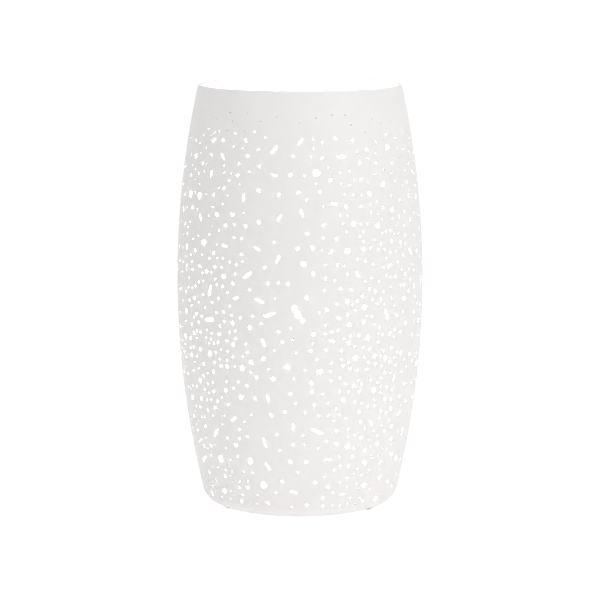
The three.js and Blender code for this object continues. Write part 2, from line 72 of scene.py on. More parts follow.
# ---- Table, daylight and studio lamps -------------------------------------------------------------
# A wide white table under even white light, with one broad soft lamp to the right of the camera.
# What the camera sees beyond the object is white, and the lamp keeps its soft shadow on the table.
def linear(code):
    """An sRGB hex colour as the linear RGBA that a socket takes."""
    values = [int(code[i : i + 2], 16) / 255 for i in (1, 3, 5)]
    return [v / 12.92 if v <= 0.04045 else ((v + 0.055) / 1.055) ** 2.4 for v in values] + [1]


def add(tree, kind, links=None, **settings):
    """One node: a setting is a property, or else an input's value, and links feed its inputs."""
    node = tree.nodes.new(kind)
    for name, value in settings.items():
        if hasattr(node, name):
            setattr(node, name, value)
        else:
            node.inputs[name.replace("_", " ")].default_value = value
    for name, socket in (links or {}).items():
        tree.links.new(socket, node.inputs[name])
    return node


def new_tree(holder):
    holder.use_nodes = True
    holder.node_tree.nodes.clear()
    return holder.node_tree


def larger(tree, first, second):
    return add(tree, "ShaderNodeMath", operation="MAXIMUM", links={0: first, 1: second}).outputs[0]


def sees_backdrop(tree):
    """1 for a ray from the camera, off a mirror or through glass, and 0 for light that bounces."""
    path = add(tree, "ShaderNodeLightPath").outputs
    seen = larger(tree, path["Is Camera Ray"], path["Is Glossy Ray"])
    return larger(tree, seen, path["Is Transmission Ray"])


def mixed(tree, factor, first, second):
    """The first shader where the factor is 0, and the second where it is 1."""
    return add(tree, "ShaderNodeMixShader", links={0: factor, 1: first, 2: second}).outputs[0]


def lit_sheet(tree, reflects, strength):
    """Matt paper of a colour, with a white glow of its own."""
    sheet = add(tree, "ShaderNodeBsdfDiffuse", Color=linear(reflects)).outputs[0]
    glow = add(tree, "ShaderNodeEmission", Color=linear("#ffffff"), Strength=strength).outputs[0]
    return add(tree, "ShaderNodeAddShader", links={0: sheet, 1: glow}).outputs[0]


world = bpy.data.worlds.new("white studio")
bpy.context.scene.world = world
tree = new_tree(world)
daylight = add(tree, "ShaderNodeBackground", Color=linear("#f6f6f6"), Strength=0.52).outputs[0]
backdrop = add(tree, "ShaderNodeBackground", Color=linear("#ffffff"), Strength=1.0).outputs[0]
add(tree, "ShaderNodeOutputWorld", links={"Surface": mixed(tree, sees_backdrop(tree), daylight, backdrop)})

bpy.ops.mesh.primitive_grid_add(x_subdivisions=2, y_subdivisions=2, size=30)
table = bpy.context.object
table.name = "table_top"
paper = bpy.data.materials.new("matt white paper sweep")
tree = new_tree(paper)
bounced = lit_sheet(tree, "#efeeee", 0.33)
shown = lit_sheet(tree, "#a4a4a4", 0.88)
add(tree, "ShaderNodeOutputMaterial", links={"Surface": mixed(tree, sees_backdrop(tree), bounced, shown)})
table.data.materials.append(paper)


def soft_lamp(name, place, size, watts, aim):
    data = bpy.data.lights.new(name, "AREA")
    data.shape, data.size, data.energy = "DISK", size * MM, watts
    lamp = bpy.data.objects.new(name, data)
    bpy.context.collection.objects.link(lamp)
    lamp.location = Vector(place) * MM
    lamp.rotation_euler = (Vector(aim) - Vector(place)).to_track_quat("-Z", "Y").to_euler()


soft_lamp("right_softbox", (1500, -1500, 1300), 1300, 10, aim=(0, 0, 120))
soft_lamp("overhead_softbox", (0, -150, 1600), 1500, 11.5, aim=(0, 0, 0))


# ---- Porcelain body -------------------------------------------------------------------------------
# Slip-cast porcelain, 3 mm thick and fired without glaze. The caster's plug of slip is poured out of
# the open top, the lip is sponged round, and the raised floor gives the foot a flat standing ring.
def span(node):
    """A frame node's lowest and highest place along Z."""
    low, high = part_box(node)
    return low[2] / MM, high[2] / MM


def arc(centre_r, centre_z, radius, start, end, steps):
    """Points on a circle in a profile's plane, between two angles in degrees."""
    angles = [math.radians(start + (end - start) * i / steps) for i in range(steps + 1)]
    return [(centre_r + radius * math.cos(a), centre_z + radius * math.sin(a)) for a in angles]


def select_only(piece):
    bpy.ops.object.select_all(action="DESELECT")
    piece.select_set(True)
    bpy.context.view_layer.objects.active = piece


def in_edit_mode(piece, *steps):
    select_only(piece)
    bpy.ops.object.mode_set(mode="EDIT")
    bpy.ops.mesh.select_all(action="SELECT")
    for step in steps:
        step()
    bpy.ops.object.mode_set(mode="OBJECT")


def smooth(piece, angle=30):
    """Smooth shading, with an edge kept sharp where its faces turn more than the angle."""
    select_only(piece)
    bpy.ops.object.shade_smooth_by_angle(angle=math.radians(angle))


def mesh_piece(name, points, edges=(), faces=()):
    """A new piece from points in millimetres."""
    mesh = bpy.data.meshes.new(name)
    mesh.from_pydata([Vector(p) * MM for p in points], edges, faces)
    piece = bpy.data.objects.new(name, mesh)
    bpy.context.collection.objects.link(piece)
    return piece


def turned(name, profile, segments=64, middle=(0, 0)):
    """A turned piece: (radius, height) points that close on themselves, or that start and end on
    the axis, spun round an upright axis."""
    x, y = middle
    points = [(x + r, y, z) for r, z in profile]
    closes = all(r > 0 for r, z in profile)
    edges = [(i, (i + 1) % len(points)) for i in range(len(points) - (not closes))]
    piece = mesh_piece(name, points, edges)
    middle = (x * MM, y * MM, 0)
    in_edit_mode(
        piece,
        lambda: bpy.ops.mesh.spin(steps=segments, angle=math.tau, center=middle, axis=(0, 0, 1)),
        lambda: bpy.ops.mesh.select_all(action="SELECT"),
        lambda: bpy.ops.mesh.remove_doubles(threshold=0.002 * MM),
        lambda: bpy.ops.mesh.normals_make_consistent(inside=False),
    )
    smooth(piece)
    return piece


def apply_modifier(piece, kind, **settings):
    select_only(piece)
    modifier = piece.modifiers.new(kind.lower(), kind)
    for name, value in settings.items():
        setattr(modifier, name, value)
    bpy.ops.object.modifier_apply(modifier=modifier.name)


def cut(piece, tool, operation="DIFFERENCE"):
    """Cuts the tool out of the piece, or joins it on, and removes the tool."""
    apply_modifier(piece, "BOOLEAN", operation=operation, solver="MANIFOLD", object=tool)
    bpy.data.objects.remove(tool)


FOOT, RIM = span("porcelain_body")
BELLY_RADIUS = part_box("porcelain_body")[1][0] / MM
BELLY_HEIGHT = 133
RIM_RADIUS = 60
WALL = 3
CORNER = 10  # radius between the side and the foot
RECESS_RADIUS = 40.5
FLOOR_THICKNESS = 3.5
FLOOR_TOP = span("upper_gasket")[0]
FLOOR_UNDER = FLOOR_TOP - FLOOR_THICKNESS
FLOOR_EDGE = 2  # rounding of the raised floor and of the recess
TUBE_HOLE = 5.3

side_drop = BELLY_RADIUS - RIM_RADIUS
SIDE_ARC = ((RIM - BELLY_HEIGHT) ** 2 + side_drop**2) / (2 * side_drop)
SIDE_CENTRE = BELLY_RADIUS - SIDE_ARC
CORNER_Z = FOOT + CORNER
CORNER_R = SIDE_CENTRE + math.sqrt((SIDE_ARC - CORNER) ** 2 - (BELLY_HEIGHT - CORNER_Z) ** 2)
SIDE_FOOT = -math.degrees(math.asin((BELLY_HEIGHT - CORNER_Z) / (SIDE_ARC - CORNER)))
LIP_EDGE = 0.5  # rounding of the flat lip
LIP_Z = RIM - LIP_EDGE
SIDE_TOP = math.degrees(math.asin((LIP_Z - BELLY_HEIGHT) / SIDE_ARC))


def outside(z):
    """The outside at a height: its radius, and the slope of its normal above level."""
    middle, centre, radius = BELLY_HEIGHT, SIDE_CENTRE, SIDE_ARC
    if z < CORNER_Z + CORNER * math.sin(math.radians(SIDE_FOOT)):
        middle, centre, radius = CORNER_Z, CORNER_R, CORNER
    slope = math.asin((z - middle) / radius)
    return centre + radius * math.cos(slope), slope


def side_profile(inset):
    return [
        *arc(CORNER_R, CORNER_Z, CORNER - inset, -90, SIDE_FOOT, 8),
        *arc(SIDE_CENTRE, BELLY_HEIGHT, SIDE_ARC - inset, SIDE_FOOT, 0, 20)[1:],
        *arc(SIDE_CENTRE, BELLY_HEIGHT, SIDE_ARC - inset, 0, SIDE_TOP, 20)[1:],
    ]


vessel = turned(
    "porcelain_vessel",
    [
        *side_profile(0),
        *arc(outside(LIP_Z)[0] - LIP_EDGE, LIP_Z, LIP_EDGE, 0, 90, 5)[1:],
        *arc(outside(LIP_Z)[0] - WALL + LIP_EDGE, LIP_Z, LIP_EDGE, 90, 180, 5)[:-1],
        *reversed(side_profile(WALL)),
        *arc(RECESS_RADIUS + FLOOR_THICKNESS - FLOOR_EDGE, FLOOR_TOP - FLOOR_EDGE, FLOOR_EDGE, 0, 90, 6),
        (TUBE_HOLE, FLOOR_TOP),
        (TUBE_HOLE, FLOOR_UNDER),
        *arc(RECESS_RADIUS - FLOOR_EDGE, FLOOR_UNDER - FLOOR_EDGE, FLOOR_EDGE, 90, 0, 6),
        (RECESS_RADIUS, FOOT),
    ],
    segments=120,
)

# At the back a solid bridge crosses the gutter round the floor, and carries the tunnel for the cable,
# which opens in a small flat seat on the outside.
INLET_Z = (FOOT + FLOOR_UNDER) / 2
SEAT_Y = CORNER_R + math.sqrt(CORNER**2 - (CORNER_Z - INLET_Z) ** 2) - 0.6
BRIDGE_HALF_WIDTH = 7.5
BRIDGE_END = 56  # inside the side wall
TUNNEL_RADIUS = 3.5
SEAT_RADIUS = 5.0


def block(name, low, high, bevel=0.0, steps=2):
    """A rectangular block between two corners, with its edges rounded."""
    low, high = Vector(low) * MM, Vector(high) * MM
    bpy.ops.mesh.primitive_cube_add(size=1, location=(low + high) / 2)
    piece = bpy.context.object
    piece.name = name
    piece.scale = high - low
    bpy.ops.object.transform_apply(location=True, rotation=True, scale=True)
    if bevel:
        apply_modifier(piece, "BEVEL", width=bevel * MM, segments=steps, limit_method="NONE")
    return piece


def rod(name, radius, start, end, segments=32, bevel=0.0):
    """A straight round rod between two points."""
    start, end = Vector(start) * MM, Vector(end) * MM
    bpy.ops.mesh.primitive_cylinder_add(
        vertices=segments,
        radius=radius * MM,
        depth=(end - start).length,
        location=(start + end) / 2,
        rotation=(end - start).to_track_quat("Z", "Y").to_euler(),
    )
    piece = bpy.context.object
    piece.name = name
    bpy.ops.object.transform_apply(location=True, rotation=True, scale=True)
    if bevel:
        apply_modifier(piece, "BEVEL", width=bevel * MM, segments=2, limit_method="ANGLE")
    return piece


bridge_foot = (-BRIDGE_HALF_WIDTH, RECESS_RADIUS + 0.5, FOOT + 0.5)
bridge_top = (BRIDGE_HALF_WIDTH, BRIDGE_END, FLOOR_TOP - 0.2)
cut(vessel, block("bridge", bridge_foot, bridge_top, bevel=0.8), "UNION")
cut(vessel, rod("tunnel", TUNNEL_RADIUS, (0, RECESS_RADIUS - 3, INLET_Z), (0, 90, INLET_Z)))
cut(vessel, rod("seat", SEAT_RADIUS, (0, SEAT_Y, INLET_Z), (0, 90, INLET_Z), segments=40))


# The piercings: holes and slots pushed through the leather-hard clay by hand with a few points and
# blades, so no two are alike. They stop short of the rim, crowd together in four broad bands down the
# side, and are scattered by one repeatable draw, largest first. Four dozen marks near the rim go
# only part of the way in.
PLAIN_BAND = 30
HIGHEST = RIM - PLAIN_BAND
CRISP = 0.22  # the soft edge that sponging leaves round each hole
BREAKOUT = 0.75  # how much wider all round a hole is on the inside, where the clay broke out
SLOT, ROUND = 0.55, 1.0  # outline: how full its corners are

# count, length, width, height band, outline, corners, porcelain left between holes
KINDS = [
    (20, (5.2, 7.4), (1.1, 1.7), (28, 62), SLOT, 12, 2.2),
    (26, (5.2, 7.4), (1.1, 1.7), (BELLY_HEIGHT - 21, BELLY_HEIGHT + 25), SLOT, 12, 2.2),
    (10, (4.2, 5.6), (1.1, 1.6), (HIGHEST - 22, HIGHEST), SLOT, 12, 2.2),
    (16, (3.6, 4.2), (3.2, 3.9), (14, HIGHEST - 4), ROUND, 11, 2.2),
    (80, (2.6, 3.4), (2.3, 3.0), (9, HIGHEST + 2), ROUND, 10, 1.8),
    (80, (3.4, 4.8), (1.0, 1.4), (9, HIGHEST + 2), SLOT, 10, 1.8),
    (330, (1.8, 2.5), (1.5, 2.1), (8, HIGHEST + 4), ROUND, 9, 1.8),
    (610, (1.2, 1.7), (1.1, 1.5), (7.5, HIGHEST + 6), ROUND, 8, 1.8),
    (530, (1.0, 1.4), (0.9, 1.2), (7.5, HIGHEST + 7), ROUND, 7, 1.8),
    (46, (0.9, 1.4), (0.8, 1.1), (HIGHEST + 6, HIGHEST + 17), ROUND, 6, 3.0),
]
# In front of the bulb three punches ran together: angle, height, length, width, tilt
RUN_TOGETHER = [(-2.2, 127.5, 4.4, 3.4, 110), (-0.9, 123.9, 4.8, 3.5, 125), (1.2, 120.6, 2.9, 2.4, 120)]
BIG_KINDS = 4  # the kinds that the frame's own body has too
EVEN = 5  # how many free places are weighed up for each of the others
BLIND_DEPTH = 0.9
NEAR = 12  # holes further apart than this leave each other alone
CLUSTER = 40

state = 2971


def draw():
    """The minimal standard generator, between 0 and 1."""
    global state
    state = state * 16807 % 2147483647
    return state / 2147483647


def between(limits):
    return limits[0] + (limits[1] - limits[0]) * draw()


def crowding(angle, z, length):
    """How much a hole wants a place: small ones crowd together in the bands and in clusters."""
    bands = 1 - 0.22 * math.cos(math.radians(4 * (angle + 7)))
    around = math.radians(angle)
    cluster = noise.noise(Vector((73 * math.sin(around), -73 * math.cos(around), z)) / CLUSTER)
    return (bands * (1 + 0.3 * cluster)) ** (2 if length < 1.6 else 0.3)


def near_inlet(angle, z):
    return z < 22 and abs(angle - 180) < 13


def room_at(angle, z, length, belts):
    """The porcelain left between a hole and its nearest neighbour, whose belt is NEAR high."""
    radius, belt, room = outside(z)[0], int(z // NEAR), NEAR
    for near in (belt - 1, belt, belt + 1):
        for other_angle, other_z, other_length in belts.get(near, ()):
            across = math.radians((angle - other_angle + 540) % 360 - 180) * radius
            room = min(room, math.hypot(across, z - other_z) - (length + other_length) / 2)
    return room


def scatter():
    """Every piercing: its angle, height, length, width, tilt, outline, corners and whether it's blind."""
    placed, belts = [], {}
    for angle, z, length, width, tilt in RUN_TOGETHER:
        belts.setdefault(int(z // NEAR), []).append((angle, z, length))
        placed.append((angle, z, length, width, tilt, ROUND, 12, False))
    for number, (count, lengths, widths, band, outline, corners, least_room) in enumerate(KINDS):
        small, free = number >= BIG_KINDS, []
        while count:
            angle, z, length = 360 * draw(), between(band), between(lengths)
            width, tilt = min(between(widths), length), 180 * draw()
            room = room_at(angle, z, length, belts)
            if room <= least_room or small and near_inlet(angle, z):
                continue
            free.append((room * crowding(angle, z, length), angle, z, length, width, tilt))
            if len(free) < (EVEN if small else 1):
                continue
            angle, z, length, width, tilt = max(free)[1:]
            belts.setdefault(int(z // NEAR), []).append((angle, z, length))
            blind = number == len(KINDS) - 1
            placed.append((angle, z, length, width, tilt, outline, corners, blind))
            count, free = count - 1, []
    return placed


def outline_points(length, width, fullness, corners, grow):
    """A hand-cut outline: an oval or slot that wavers, and sometimes runs to a point."""
    wobble = 0.05 if fullness == SLOT else 0.11
    lean, point, phase = between((-0.07, 0.07)), between((0.0, 0.16)), math.tau * draw()
    points = []
    for i in range(corners):
        a = math.tau * i / corners
        c, s = math.cos(a), math.sin(a)
        stretch = 1 + point * math.cos(3 * a + phase) * (fullness == ROUND) + wobble * (2 * draw() - 1)
        x = math.copysign(abs(c) ** fullness, c) * (length / 2 * stretch + grow)
        y = math.copysign(abs(s) ** fullness, s) * (width / 2 * stretch + grow)
        points.append((x, y * (1 + lean * c)))
    return points


def piercing_tools(places):
    """Punches as one mesh: each widens at the surface, so that its hole gets a soft edge."""
    points, faces = [], []
    for angle, z, length, width, tilt, fullness, corners, blind in places:
        radius, slope = outside(z)
        around, turn = math.radians(angle), math.radians(tilt)
        out = Vector((math.sin(around), -math.cos(around), 0))
        along = Vector((math.cos(around), math.sin(around), 0))
        normal = out * math.cos(slope) + Vector((0, 0, math.sin(slope)))
        up = normal.cross(along)
        middle = out * radius + Vector((0, 0, z))
        shape = outline_points(length, width, fullness, corners, 0)
        tip, widening = (-BLIND_DEPTH, -0.3) if blind else (-WALL - 0.5, BREAKOUT)
        first = len(points)
        for depth, grow in ((tip, widening), (-CRISP, 0), (0.6, CRISP + 0.6)):
            for x, y in shape:
                wider = 1 + grow / math.hypot(x, y)
                x, y = x * wider, y * wider
                x, y = x * math.cos(turn) - y * math.sin(turn), x * math.sin(turn) + y * math.cos(turn)
                points.append(middle + along * x + up * y + normal * depth)
        faces.append(tuple(range(first + corners - 1, first - 1, -1)))
        faces.append(tuple(range(first + 2 * corners, first + 3 * corners)))
        for ring in (first, first + corners):
            for i in range(corners):
                here, there = ring + i, ring + (i + 1) % corners
                faces.append((here, there, there + corners, here + corners))
    return mesh_piece("punches", points, faces=faces)


places = scatter()
for overlapping in places[: len(RUN_TOGETHER)]:
    cut(vessel, piercing_tools([overlapping]))
cut(vessel, piercing_tools(places[len(RUN_TOGETHER) :]))
smooth(vessel, 28)


# Biscuit porcelain: white kaolin body, vitrified but unglazed and rubbed down with fine pads. It is
# matt with a trace of sheen, and its fine grain breaks up the light. The real grain is about 0.05 mm,
# and it is drawn at 0.6 mm so that it shows.
def grain(tree, size, detail=3.0, kind="ShaderNodeTexNoise", stretch=(1, 1, 1)):
    """A noise pattern on the piece's own coordinates, with grains of a size in millimetres."""
    place = add(tree, "ShaderNodeTexCoord")
    scaled = add(tree, "ShaderNodeMapping", links={"Vector": place.outputs["Object"]}, Scale=stretch)
    return add(tree, kind, links={"Vector": scaled.outputs[0]}, Scale=1 / (size * MM), Detail=detail)


def tinted(tree, factor, dark, light):
    """A colour between two hex colours."""
    ramp = add(tree, "ShaderNodeMix", data_type="RGBA", links={"Factor": factor})
    ramp.inputs[6].default_value, ramp.inputs[7].default_value = linear(dark), linear(light)
    return ramp.outputs[2]


def ranged(tree, factor, low, high):
    return add(tree, "ShaderNodeMapRange", links={"Value": factor}, To_Min=low, To_Max=high).outputs[0]


def bumped(tree, height, depth, strength=1.0):
    """A normal from a height pattern whose full depth is given in millimetres."""
    made = add(tree, "ShaderNodeBump", links={"Height": height}, Strength=strength, Distance=depth * MM)
    return made.outputs[0]


def finish(name, color, roughness, normal=None, **settings):
    """A material with one Principled shader. Colour and roughness are a value or a socket's maker."""
    made = bpy.data.materials.new(name)
    tree = new_tree(made)
    links = {}
    shader = {}
    for socket, value in (("Base Color", color), ("Roughness", roughness), ("Normal", normal)):
        if callable(value):
            links[socket] = value(tree)
        elif value is not None:
            shader[socket] = linear(value) if isinstance(value, str) else value
    node = add(tree, "ShaderNodeBsdfPrincipled", links=links)
    for socket, value in {**shader, **settings}.items():
        node.inputs[socket.replace("_", " ")].default_value = value
    add(tree, "ShaderNodeOutputMaterial", links={"Surface": node.outputs[0]})
    return made


porcelain = finish(
    "unglazed biscuit porcelain",
    lambda t: tinted(t, grain(t, 14, 4).outputs[0], "#edebea", "#f3f1f0"),
    lambda t: ranged(t, grain(t, 2.5).outputs[0], 0.5, 0.66),
    lambda t: bumped(t, grain(t, 0.6, 4).outputs[0], 0.03),
    IOR=1.5,
)
vessel.data.materials.clear()
vessel.data.materials.append(porcelain)
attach(vessel, "lamp")
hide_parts("porcelain_body")


# ---- Foot pads ----------------------------------------------------------------------------------
# Three bumpers of black rubber, domed towards the table and stuck to the flat foot ring, which the
# thin flange of each overhangs a little. The rubber is matt and slightly uneven in its grey. Their
# black is partly painted shade: it makes the pad at the front right show as the thin dark line of
# shade under the foot.
def middle_of(node):
    low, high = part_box(node)
    return [(a + b) / 2 / MM for a, b in zip(low, high)]


def width_of(node):
    low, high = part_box(node)
    return (high[0] - low[0]) / MM


def dressed(piece, made, slot, body, *nodes):
    """Gives a piece its finish and the body it rides on, and hides the nodes it stands for. The slot is not
    used.
    """
    piece.data.materials.append(made)
    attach(piece, body)
    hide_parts(*nodes)
    return piece


# Black rubber. On the foot pads its black is also painted shade, the dark line under the foot.
black_rubber_and_painted_shade = finish(
    "moulded black rubber",
    lambda t: tinted(t, grain(t, 1.5).outputs[0], "#232323", "#303030"),
    lambda t: ranged(t, grain(t, 0.6).outputs[0], 0.65, 0.85),
    lambda t: bumped(t, grain(t, 0.4).outputs[0], 0.02),
)
PAD_FOOT, PAD_LIP = 1.6, 0.35  # how far the foot is drawn in, and the thickness of its flange
for number in (1, 2, 3):
    node = f"foot_pad_{number}"
    x, y, z = middle_of(node)
    radius, (low, high) = width_of(node) / 2, span(node)
    pad = turned(
        f"rubber_foot_{number}",
        [
            (0, low),
            (radius - PAD_FOOT - 0.3, low),
            (radius - PAD_FOOT, low + 0.1),
            (radius - PAD_FOOT * 0.6, high - PAD_LIP - 0.2),
            (radius - 0.3, high - PAD_LIP),
            (radius, high - PAD_LIP / 2),
            (radius - 0.1, high),
            (0, high),
        ],
        segments=48,
        middle=(x, y),
    )
    # The pad's black stands in partly for the painted shade under the foot.
    dressed(pad, black_rubber_and_painted_shade, "foot_rubber", "lamp", node)


# ---- Cable bush -----------------------------------------------------------------------------------
# A snap-in bush of soft PVC, moulded in one piece: a rounded flange on the outside, a barrel through
# the porcelain, and a tapered ridge that springs open in the recess.
pvc = finish(
    "moulded soft PVC",
    lambda t: tinted(t, grain(t, 3).outputs[0], "#deddd8", "#e8e7e3"),
    lambda t: ranged(t, grain(t, 0.7).outputs[0], 0.38, 0.5),
    lambda t: bumped(t, grain(t, 0.4).outputs[0], 0.01),
    IOR=1.53,
)
inner_end, outer_end = (corner[1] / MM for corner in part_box("cable_grommet"))
BUSH_BORE, BUSH_BARREL, BUSH_RIDGE, BUSH_FLANGE = 2.4, 3.2, 4.2, 4.7
FLANGE_THICKNESS = 1.8
flange_foot = outer_end - FLANGE_THICKNESS
ridge_end = inner_end + 0.8
bush = turned(
    "cable_bush",
    [
        (BUSH_BORE, inner_end),
        (BUSH_BARREL - 0.4, inner_end),
        (BUSH_RIDGE - 0.1, ridge_end),
        (BUSH_RIDGE - 0.2, ridge_end + 0.1),
        (BUSH_BARREL, ridge_end + 0.2),
        (BUSH_BARREL, flange_foot),
        (BUSH_FLANGE - 0.2, flange_foot),
        *arc(BUSH_FLANGE - 0.9, outer_end - 0.9, 0.9, 0, 90, 6),
        *arc(BUSH_BORE + 0.6, outer_end - 0.6, 0.6, 90, 180, 6),
    ],
)
bush.rotation_euler = (math.radians(-90), 0, 0)
bush.location = (0, 0, INLET_Z * MM)
select_only(bush)
bpy.ops.object.transform_apply(location=True, rotation=True, scale=True)
dressed(bush, pvc, "grommet_pvc", "lamp", "cable_grommet")


# ---- Fixing through the floor -------------------------------------------------------------------
# A hollow steel tube with an M10 thread, cut from rolled stock, holds the lampholder down on the
# raised floor. A plain washer and a rubber gasket on each side spread the load on the porcelain.
def threaded(piece, low, high, outer, pitch, depth, hand=1):
    """Raises a rounded right-hand thread on the rows of a turned piece at a radius."""
    for vertex in piece.data.vertices:
        x, y, z = vertex.co / MM
        radius = math.hypot(x, y)
        if abs(radius - outer) > 0.01 or not low < z < high:
            continue
        phase = math.tau * z / pitch - math.atan2(y, x)
        fade = min(1, (z - low) / pitch, (high - z) / pitch)
        new = outer + hand * depth * fade * (0.5 + 0.5 * math.cos(phase))
        vertex.co.x, vertex.co.y = x * new / radius * MM, y * new / radius * MM


def rows(radius, low, high, step):
    count = max(1, round((high - low) / step))
    return [(radius, low + (high - low) * i / count) for i in range(count + 1)]


def brushed(t, low, high, size=0.6, stretch=(1, 1, 12)):
    return ranged(t, grain(t, size, 4, stretch=stretch).outputs[0], low, high)


zinc = finish(
    "bright zinc-plated steel",
    lambda t: tinted(t, grain(t, 4).outputs[0], "#b4b8be", "#c9ccd1"),
    lambda t: brushed(t, 0.22, 0.42),
    lambda t: bumped(t, grain(t, 0.3).outputs[0], 0.006),
    Metallic=1.0,
)
TUBE_RADIUS, TUBE_BORE, TUBE_PITCH, TUBE_DEPTH = 5.0, 3.5, 1.0, 0.55
low, high = span("threaded_tube")
root = TUBE_RADIUS - TUBE_DEPTH
tube = turned(
    "threaded_tube_m10",
    [
        (TUBE_BORE, low),
        (root - 0.3, low),
        *rows(root, low + 0.4, high - 0.4, 0.2),
        (root - 0.3, high),
        (TUBE_BORE, high),
    ],
    segments=40,
)
threaded(tube, low, high, root, TUBE_PITCH, TUBE_DEPTH)
dressed(tube, zinc, "zinc_steel", "lamp", "threaded_tube")

for name, node, made, slot in (
    ("washer_under_floor", "lower_washer", zinc, "zinc_steel"),
    ("gasket_under_floor", "lower_gasket", black_rubber_and_painted_shade, "gasket_rubber"),
    ("gasket_on_floor", "upper_gasket", black_rubber_and_painted_shade, "gasket_rubber"),
    ("washer_on_floor", "upper_washer", zinc, "zinc_steel"),
):
    (low, high), outer = span(node), width_of(node) / 2
    ring = turned(name, [(TUBE_HOLE, low), (outer, low), (outer, high), (TUBE_HOLE, high)])
    apply_modifier(ring, "BEVEL", width=0.2 * MM, segments=3, limit_method="ANGLE")
    dressed(ring, made, slot, "lamp", node)

# The nut is hexagon bar, chamfered at both faces on the lathe.
low, high = span("lower_nut")
corner_radius = width_of("lower_nut") / 2
flat_radius = corner_radius * math.cos(math.radians(30))
bpy.ops.mesh.primitive_cylinder_add(
    vertices=6,
    radius=corner_radius * MM,
    depth=(high - low) * MM,
    location=(0, 0, (low + high) / 2 * MM),
    rotation=(0, 0, math.radians(30)),
)
nut = bpy.context.object
nut.name = "hexagon_nut"
bpy.ops.object.transform_apply(location=True, rotation=True, scale=True)
chamfer = corner_radius - flat_radius
lathe = turned(
    "lathe_cut",
    [
        (TUBE_HOLE + 0.5, low),
        (flat_radius, low),
        (corner_radius + 0.1, low + chamfer * 0.55),
        (corner_radius + 0.1, high - chamfer * 0.55),
        (flat_radius, high),
        (TUBE_HOLE + 0.5, high),
        (TUBE_HOLE, high - 0.5),
        (TUBE_HOLE, low + 0.5),
    ],
)
cut(nut, lathe, "INTERSECT")
smooth(nut, 25)
dressed(nut, zinc, "zinc_steel", "lamp", "lower_nut")


# ---- Lampholder -----------------------------------------------------------------------------------
# An E27 lampholder moulded in white thermoset: a domed cap on the tube, locked by a grub screw, and
# a skirt with a fluted grip and the round thread inside. A cream steatite disc carries the contacts.
HOLDER_Z, CAP_TOP = span("holder_cap")
BODY_LOW, BODY_TOP = span("holder_body")
INSERT_LOW, INSERT_TOP = span("holder_insert")
SKIRT = width_of("holder_body") / 2
CAP_WALL, CAP_NECK = 2.2, 8.0
SPIGOT = width_of("holder_insert") / 2 + 0.3
SPIGOT_INSIDE = SPIGOT - CAP_WALL
shoulder = BODY_LOW - 0.3
dome = SKIRT - 1.5 - CAP_NECK

thermoset = finish(
    "moulded white thermoset",
    lambda t: tinted(t, grain(t, 9).outputs[0], "#ebe9e4", "#f1efeb"),
    lambda t: ranged(t, grain(t, 1.2).outputs[0], 0.28, 0.4),
    lambda t: bumped(t, grain(t, 0.9).outputs[0], 0.012),
    IOR=1.55,
)
cap = turned(
    "lampholder_cap",
    [
        (TUBE_HOLE, HOLDER_Z),
        (CAP_NECK - 0.4, HOLDER_Z),
        (CAP_NECK, HOLDER_Z + 0.4),
        *arc(CAP_NECK, shoulder - 2, dome, -90, 0, 14),
        (SKIRT - 1.5, shoulder - 0.3),
        (SKIRT - 1.8, shoulder),
        (SPIGOT, shoulder),
        (SPIGOT, CAP_TOP - 0.3),
        (SPIGOT - 0.3, CAP_TOP),
        (SPIGOT_INSIDE, CAP_TOP),
        (SPIGOT_INSIDE, shoulder - 1),
        *arc(CAP_NECK, shoulder - 2, SPIGOT_INSIDE - CAP_NECK, 0, -80, 10),
        (TUBE_HOLE, HOLDER_Z + 8.3),
    ],
    segments=72,
)
GRUB_Z = (span("holder_grub_screw")[0] + span("holder_grub_screw")[1]) / 2
cut(cap, rod("grub_hole", 1.8, (TUBE_RADIUS - 1, 0, GRUB_Z), (CAP_NECK + 4, 0, GRUB_Z), segments=24))
smooth(cap)
dressed(cap, thermoset, "holder_plastic", "lamp", "holder_cap")

THREAD_PITCH = 3.629
THREAD_CREST, THREAD_DEPTH = 13.6, 0.85
THREAD_TUBE = THREAD_CREST + THREAD_DEPTH + 0.9
SLEEVE = SKIRT - CAP_WALL
ledge, mouth = INSERT_TOP + 0.3, BODY_TOP - 1.5
skirt = turned(
    "lampholder_skirt",
    [
        (SLEEVE, BODY_LOW),
        (SKIRT - 0.4, BODY_LOW),
        (SKIRT, BODY_LOW + 0.4),
        (SKIRT, mouth),
        *arc(SKIRT - 1.5, mouth, 1.5, 15, 90, 6),
        *arc(THREAD_CREST + 1, BODY_TOP - 1, 1, 90, 165, 6),
        *reversed(rows(THREAD_CREST, ledge, mouth, THREAD_PITCH / 8)),
        (THREAD_TUBE, ledge),
        (THREAD_TUBE, mouth - 3),
        (SLEEVE, mouth - 3),
    ],
    segments=96,
)
threaded(skirt, ledge, mouth, THREAD_CREST, THREAD_PITCH, THREAD_DEPTH)

FLUTES, FLUTE_RADIUS, FLUTE_DEPTH = 24, 1.4, 0.5
flutes = []
for i in range(FLUTES):
    a = math.tau * (i + 0.5) / FLUTES
    reach = SKIRT + FLUTE_RADIUS - FLUTE_DEPTH
    x, y = reach * math.cos(a), reach * math.sin(a)
    start, end = (x, y, BODY_LOW + 4), (x, y, BODY_TOP - 8)
    flutes.append(rod("flute", FLUTE_RADIUS, start, end, segments=16, bevel=0.6))
select_only(flutes[0])
for flute in flutes:
    flute.select_set(True)
bpy.ops.object.join()
cut(skirt, bpy.context.object)
SLOT_HALF_WIDTH = 2.8  # of the way that the side contact has through the thread
slot_foot = (THREAD_CREST - 1.2, -SLOT_HALF_WIDTH, ledge - 1)
slot_top = (THREAD_TUBE + 1.2, SLOT_HALF_WIDTH, span("side_contact")[1] + 1)
cut(skirt, block("contact_slot", slot_foot, slot_top))
smooth(skirt)
dressed(skirt, thermoset, "holder_plastic", "lamp", "holder_body")

